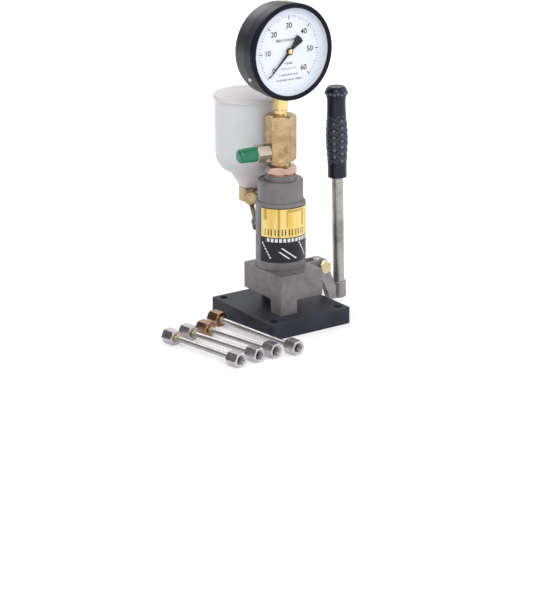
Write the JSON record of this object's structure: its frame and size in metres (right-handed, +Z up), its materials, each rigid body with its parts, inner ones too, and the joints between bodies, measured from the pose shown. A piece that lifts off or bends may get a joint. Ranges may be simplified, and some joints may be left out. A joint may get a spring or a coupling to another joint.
{
  "type": "diesel injector tester",
  "caption": "Bench hand pump that lifts diesel nozzles' opening pressure: lever, pump column, oil cup, brass manifold with dial gauge and outlet, and loose adapter pipes.",
  "frame": {"origin": "centre of the base plate's underside, under the pump column's axis", "axes": "+Z up along the pump column; -Y is the side that the dial faces; +X is the side of the lever"},
  "size_m": [0.2373, 0.2075, 0.3472],
  "materials": {
    "black_paint": "gloss black enamel on cast iron",
    "grey_steel": "phosphated, warm grey",
    "steel": "turned steel",
    "zinc": "zinc plated",
    "brass": "turned brass",
    "copper": "soft copper",
    "bronze": "bearing bronze",
    "rubber": "moulded black rubber",
    "cup_plastic": "milky translucent",
    "green_plastic": "soft green",
    "gauge_black": "gloss black",
    "dial_white": "matt white print",
    "pointer_black": "matt black",
    "label_print": "gold and blue-black sheet",
    "glass": "flat clear glass"
  },
  "bodies": {
    "tester": {"base_plate": "black_paint", "foot_screws": "steel", "pump_housing": "grey_steel", "pivot_bolt": "zinc", "pivot_nut": "zinc", "tappet_guide": "bronze", "return_spring": "steel", "pump_barrel": "steel", "pump_column": "grey_steel", "column_cap": "grey_steel", "column_label": "label_print", "valve_seat": "steel", "valve_spring": "steel", "copper_washer": "copper", "lock_nut": "brass", "brass_manifold": "brass", "outlet_nipple": "zinc", "gauge_washer": "copper", "gauge_socket": "brass", "bourdon_tube": "bronze", "movement_frame": "brass", "gauge_case": "gauge_black", "relief_plug": "rubber", "gauge_bezel": "gauge_black", "bezel_screws": "steel", "glass_gasket": "rubber", "gauge_glass": "glass", "gauge_dial": "dial_white", "oil_cup": "cup_plastic", "cup_strainer": "brass", "cup_fitting": "brass", "banjo_bolt": "brass", "banjo_washers": "copper", "feed_pipe": "brass"},
    "lever": {"pump_lever": "grey_steel", "thrust_pin": "steel", "lever_rod": "steel", "handle_grip": "rubber"},
    "tappet": {"tappet": "steel", "plunger": "steel"},
    "valve": {"delivery_valve": "steel"},
    "pointer": {"gauge_pointer": "pointer_black", "pointer_arbor": "brass"},
    "sector": {"sector_gear": "brass"},
    "link": {"gauge_link": "brass"},
    "lid": {"cup_lid": "cup_plastic"},
    "cap": {"dust_cap": "green_plastic"},
    "pipe_1": {"adapter_pipe_1": "zinc"},
    "far_nut_1": {"far_nut_1": "zinc"},
    "near_nut_1": {"near_nut_1": "zinc"},
    "pipe_2": {"adapter_pipe_2": "zinc"},
    "far_nut_2": {"far_nut_2": "zinc"},
    "near_nut_2": {"near_nut_2": "zinc"},
    "pipe_3": {"adapter_pipe_3": "zinc"},
    "far_nut_3": {"far_nut_3": "zinc"},
    "near_nut_3": {"near_nut_3": "zinc"},
    "pipe_4": {"adapter_pipe_4": "zinc"},
    "far_nut_4": {"far_nut_4": "zinc"},
    "near_nut_4": {"near_nut_4": "zinc"}
  },
  "joints": [
    {"name": "lever_swing", "type": "hinge", "parent": "tester", "child": "lever", "pos_m": [0.0515, 0, 0.051], "axis": [0, 1, 0], "range_deg": [0, 14], "stiffness_Nm_per_rad": 8, "springref_deg": -21.2},
    {"name": "tappet_lift", "type": "slide", "parent": "tester", "child": "tappet", "axis": [0, 0, 1], "range_m": [0, 0.01255], "deforming": ["return_spring"]},
    {"name": "valve_lift", "type": "slide", "parent": "tester", "child": "valve", "axis": [0, 0, 1], "range_m": [0, 0.0015], "stiffness_N_per_m": 2000, "springref_m": -0.004, "deforming": ["valve_spring"]},
    {"name": "pointer_turn", "type": "hinge", "parent": "tester", "child": "pointer", "pos_m": [0, 0, 0.295], "axis": [0, 1, 0], "range_deg": [0, 270], "stiffness_Nm_per_rad": 0.002, "springref_deg": -5.73},
    {"name": "sector_turn", "type": "hinge", "parent": "tester", "child": "sector", "pos_m": [0, 0, 0.274], "axis": [0, 1, 0], "range_deg": [-45, 0]},
    {"name": "link_turn", "type": "hinge", "parent": "tester", "child": "link", "pos_m": [0.03091, 0, 0.28344], "axis": [0, 1, 0], "range_deg": [0, 16.74]},
    {"name": "lid_lift", "type": "slide", "parent": "tester", "child": "lid", "axis": [0, 0, 1], "range_m": [0, 0.03]},
    {"name": "cap_pull", "type": "slide", "parent": "tester", "child": "cap", "axis": [-0.9962, 0.0872, 0], "range_m": [0, 0.018]},
    {"name": "pipe_1_lift", "type": "slide", "parent": "tester", "child": "pipe_1", "axis": [0, 0, 1], "range_m": [0, 0.15]},
    {"name": "far_nut_1_turn", "type": "hinge", "parent": "pipe_1", "child": "far_nut_1", "pos_m": [-0.1402, -0.002, 0.0075], "axis": [0.1874, -0.9823, 0], "continuous": true},
    {"name": "near_nut_1_turn", "type": "hinge", "parent": "pipe_1", "child": "near_nut_1", "pos_m": [-0.12221, -0.0963, 0.0075], "axis": [0.1874, -0.9823, 0], "continuous": true},
    {"name": "pipe_2_lift", "type": "slide", "parent": "tester", "child": "pipe_2", "axis": [0, 0, 1], "range_m": [0, 0.15]},
    {"name": "far_nut_2_turn", "type": "hinge", "parent": "pipe_2", "child": "far_nut_2", "pos_m": [-0.1186, -0.0005, 0.0075], "axis": [0.2113, -0.9774, 0], "continuous": true},
    {"name": "near_nut_2_turn", "type": "hinge", "parent": "pipe_2", "child": "near_nut_2", "pos_m": [-0.09831, -0.09433, 0.0075], "axis": [0.2113, -0.9774, 0], "continuous": true},
    {"name": "pipe_3_lift", "type": "slide", "parent": "tester", "child": "pipe_3", "axis": [0, 0, 1], "range_m": [0, 0.15]},
    {"name": "far_nut_3_turn", "type": "hinge", "parent": "pipe_3", "child": "far_nut_3", "pos_m": [-0.0972, -0.0002, 0.0075], "axis": [0.2045, -0.9789, 0], "continuous": true},
    {"name": "near_nut_3_turn", "type": "hinge", "parent": "pipe_3", "child": "near_nut_3", "pos_m": [-0.07757, -0.09417, 0.0075], "axis": [0.2045, -0.9789, 0], "continuous": true},
    {"name": "pipe_4_lift", "type": "slide", "parent": "tester", "child": "pipe_4", "axis": [0, 0, 1], "range_m": [0, 0.15]},
    {"name": "far_nut_4_turn", "type": "hinge", "parent": "pipe_4", "child": "far_nut_4", "pos_m": [-0.0697, 0.0198, 0.0075], "axis": [0.1323, -0.9912, 0], "continuous": true},
    {"name": "near_nut_4_turn", "type": "hinge", "parent": "pipe_4", "child": "near_nut_4", "pos_m": [-0.0537, -0.10014, 0.0075], "axis": [0.1323, -0.9912, 0], "continuous": true}
  ],
  "couplings": [
    {"joint": "tappet_lift", "follows": "lever_swing", "m_per_rad": 0.051372},
    {"joint": "sector_turn", "follows": "pointer_turn", "ratio": -0.16667},
    {"joint": "link_turn", "follows": "pointer_turn", "ratio": 0.062}
  ]
}
